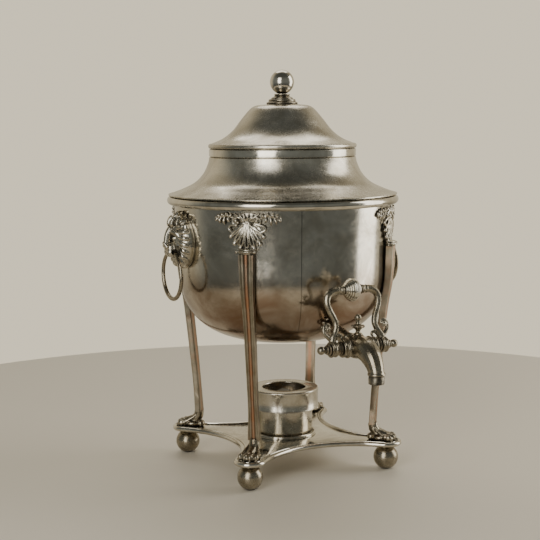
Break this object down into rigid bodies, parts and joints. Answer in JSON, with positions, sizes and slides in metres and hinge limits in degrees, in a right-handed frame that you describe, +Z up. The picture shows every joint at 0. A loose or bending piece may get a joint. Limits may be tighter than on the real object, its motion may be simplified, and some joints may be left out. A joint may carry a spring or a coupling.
{
  "type": "lidded silver-plated drinks urn with tap and spirit lamp",
  "caption": "Silver-plated hot-drinks urn: a lidded bowl with lion-mask ring handles and a lever tap, held by reeded legs with paw feet over a spirit lamp on a plate.",
  "frame": {"origin": "on the table, under the middle of the whole object's box; the bowl's own axis is 34.2 mm behind it, towards +Y", "axes": "+Z up, the tap towards -Y, the ring handles along +X and -X"},
  "size_m": [0.2472, 0.29, 0.3797],
  "materials": {
    "body_silver": "polished",
    "cast_silver": "gloss",
    "bright_silver": "polished",
    "worn_copper": "satin",
    "plug_brass": "satin",
    "nut_brass": "satin",
    "dark_outlet": "satin",
    "wick_cotton": "matte"
  },
  "bodies": {
    "urn": {"bowl": "body_silver", "rim_bead": "cast_silver", "shoulder": "body_silver", "neck_collar": "bright_silver", "base_plate": "body_silver", "plate_edge": "cast_silver", "foot_ball_front_left": "cast_silver", "paw_front_left": "cast_silver", "leg_front_left": "worn_copper", "capital_front_left": "cast_silver", "foot_ball_front_right": "cast_silver", "paw_front_right": "cast_silver", "leg_front_right": "worn_copper", "capital_front_right": "cast_silver", "foot_ball_back_right": "cast_silver", "paw_back_right": "cast_silver", "leg_back_right": "worn_copper", "capital_back_right": "cast_silver", "foot_ball_back_left": "cast_silver", "paw_back_left": "cast_silver", "leg_back_left": "worn_copper", "capital_back_left": "cast_silver", "lion_mask_right": "cast_silver", "lion_mask_left": "cast_silver", "tap_body": "cast_silver", "tap_outlet": "dark_outlet", "tap_escutcheon": "cast_silver", "tap_top_finial": "cast_silver", "lamp_seat": "cast_silver"},
    "lid": {"lid_dome": "body_silver", "lid_bezel": "body_silver", "finial_button": "cast_silver", "finial_ball": "cast_silver", "finial_nut": "nut_brass"},
    "ring_right": {"ring_handle_right": "cast_silver"},
    "ring_left": {"ring_handle_left": "cast_silver"},
    "tap_key": {"tap_plug": "plug_brass", "tap_plug_sleeve": "cast_silver", "tap_handle": "cast_silver", "tap_handle_knob": "cast_silver", "tap_end_finial_right": "cast_silver", "tap_end_finial_left": "cast_silver"},
    "lamp": {"lamp_pot": "bright_silver", "lamp_burner": "nut_brass", "lamp_wick": "wick_cotton"},
    "lamp_cover": {"lamp_cover": "bright_silver"}
  },
  "joints": [
    {"name": "lid_lift", "type": "slide", "parent": "urn", "child": "lid", "axis": [0, 0, 1], "range_m": [0, 0.06]},
    {"name": "ring_right_swing", "type": "hinge", "parent": "urn", "child": "ring_right", "pos_m": [0.1156, 0.03419, 0.2126], "axis": [0, -1, 0], "range_deg": [-4, 95]},
    {"name": "ring_left_swing", "type": "hinge", "parent": "urn", "child": "ring_left", "pos_m": [-0.1156, 0.03419, 0.2126], "axis": [0, 1, 0], "range_deg": [-4, 95]},
    {"name": "tap_turn", "type": "hinge", "parent": "urn", "child": "tap_key", "pos_m": [0, -0.10681, 0.136], "axis": [1, 0, 0], "range_deg": [0, 90]},
    {"name": "lamp_lift", "type": "slide", "parent": "urn", "child": "lamp", "axis": [0, 0, 1], "range_m": [0, 0.02]},
    {"name": "lamp_cover_lift", "type": "slide", "parent": "lamp", "child": "lamp_cover", "axis": [0, 0, 1], "range_m": [0, 0.015]}
  ]
}
